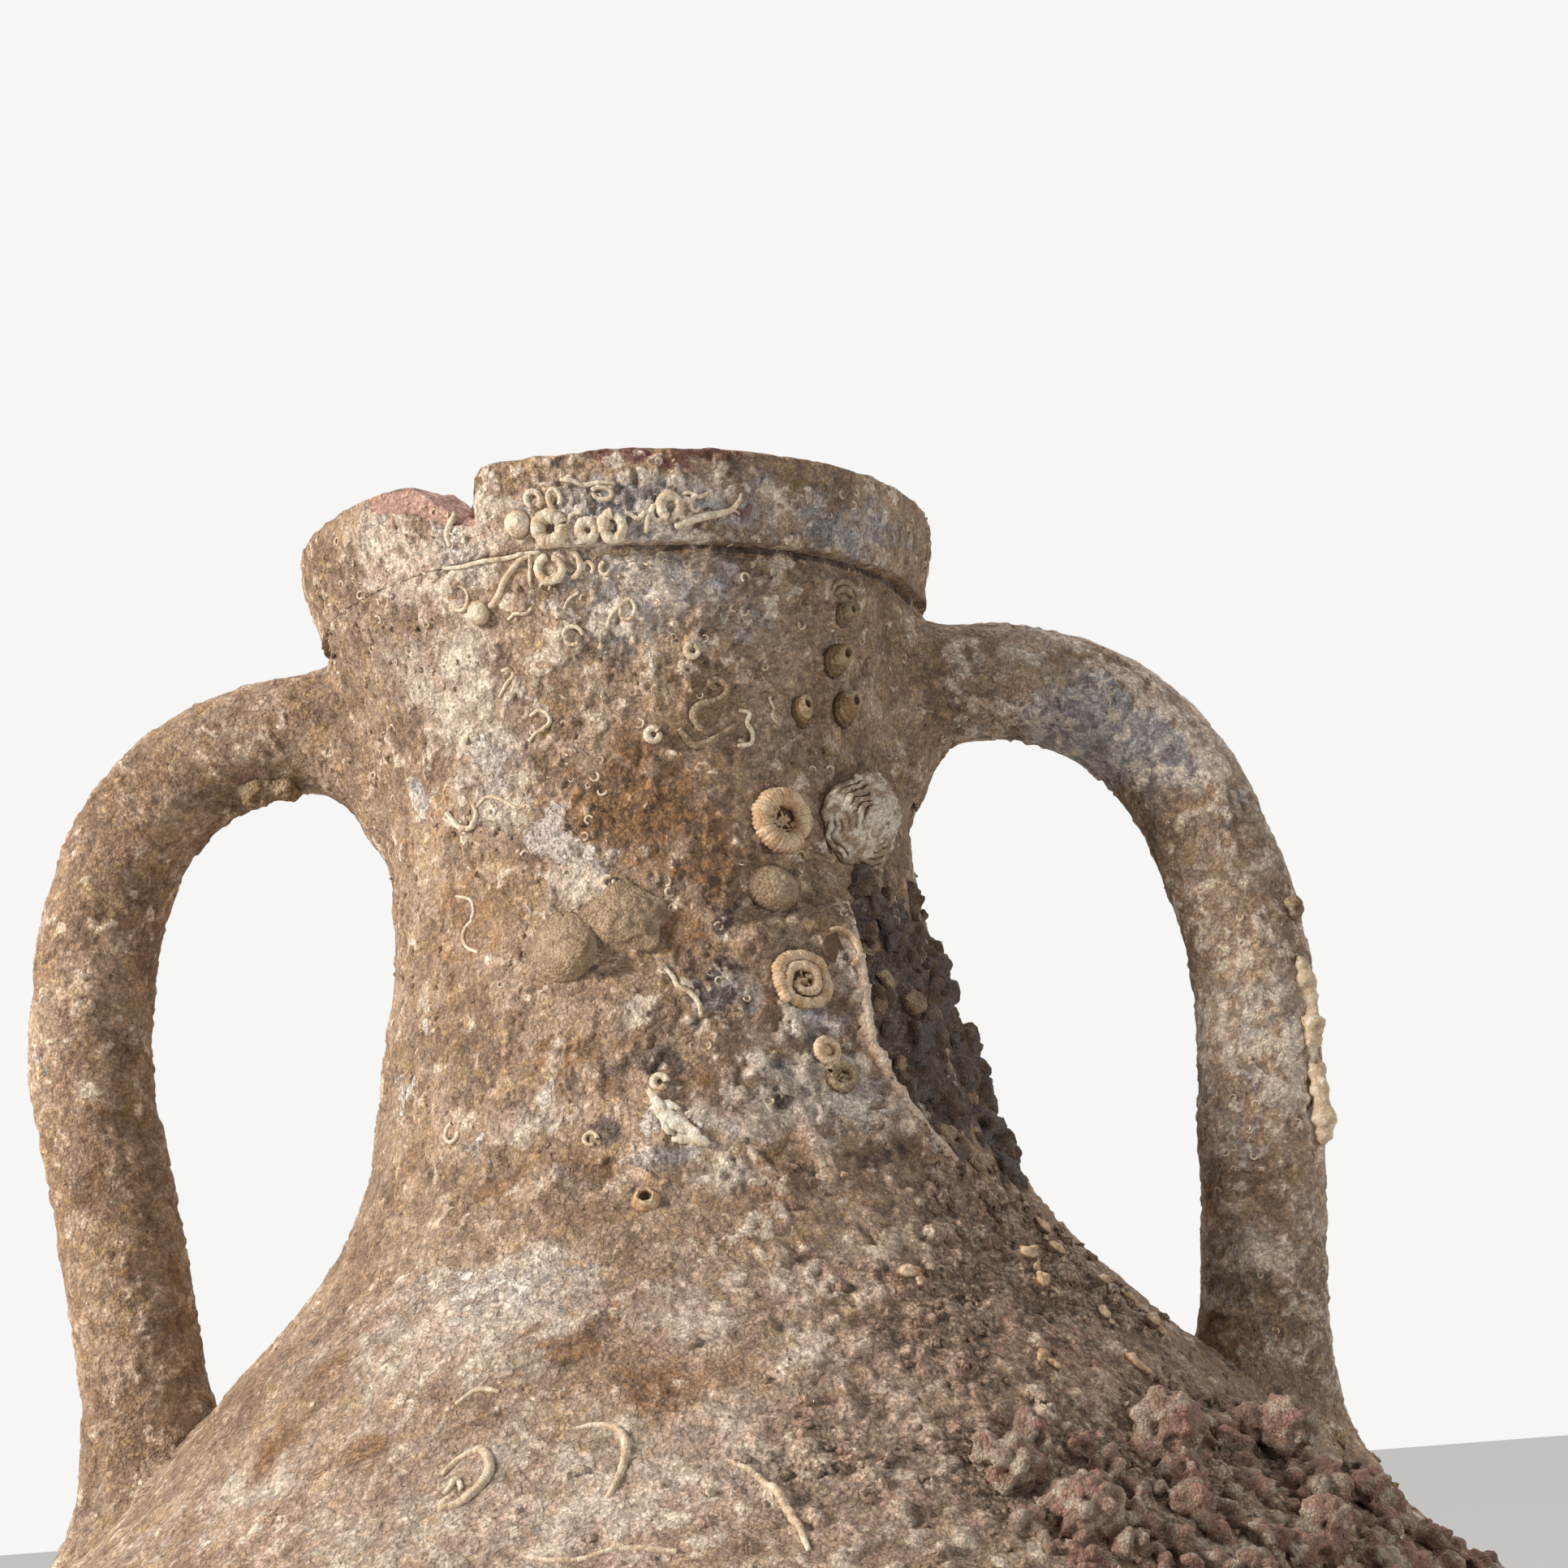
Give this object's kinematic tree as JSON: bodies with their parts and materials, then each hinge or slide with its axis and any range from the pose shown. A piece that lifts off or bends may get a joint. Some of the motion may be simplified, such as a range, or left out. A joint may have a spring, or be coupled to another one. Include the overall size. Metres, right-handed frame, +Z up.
{
  "type": "transport amphora",
  "caption": "Ovoid clay transport amphora with a chipped band rim, arched round handles, a peg toe and encrusting sea growth.",
  "frame": {"origin": "middle of the toe's flat end, on the body's axis", "axes": "+Z up along the body's axis to the mouth, +X towards the handle on the right of the picture, +Y away from the camera"},
  "size_m": [0.43, 0.43, 0.76],
  "materials": {
    "clay": "unglazed, matt, weathered",
    "body_clay": "unglazed, matt, weathered",
    "shell": "chalky",
    "tube": "chalky",
    "crust": "rough"
  },
  "bodies": {
    "root": {"rim_collar": "clay", "neck": "clay", "shoulder": "clay", "belly": "body_clay", "lower_body": "body_clay", "toe": "body_clay", "handle_left": "clay", "handle_right": "clay", "oyster": "shell", "worm_coil_upper": "tube", "worm_coil_lower": "tube", "shell_bump": "crust", "half_ring_shell": "tube", "crust_plate": "shell", "ring_shell_upper": "shell", "ring_shell_lower": "shell", "limpet": "crust", "crust_mound": "crust", "barnacle_front": "shell", "collar_tube_cluster": "tube", "collar_tube_left": "tube", "worm_tube_neck": "tube", "string_shell_top": "shell", "string_shell_middle": "shell", "string_shell_left": "shell", "string_shell_low": "shell", "small_shell_cluster": "shell", "neck_concretion": "crust", "shoulder_concretion": "crust", "handle_left_concretion": "crust", "handle_right_growth": "crust", "handle_right_lump": "crust"}
  },
  "joints": []
}
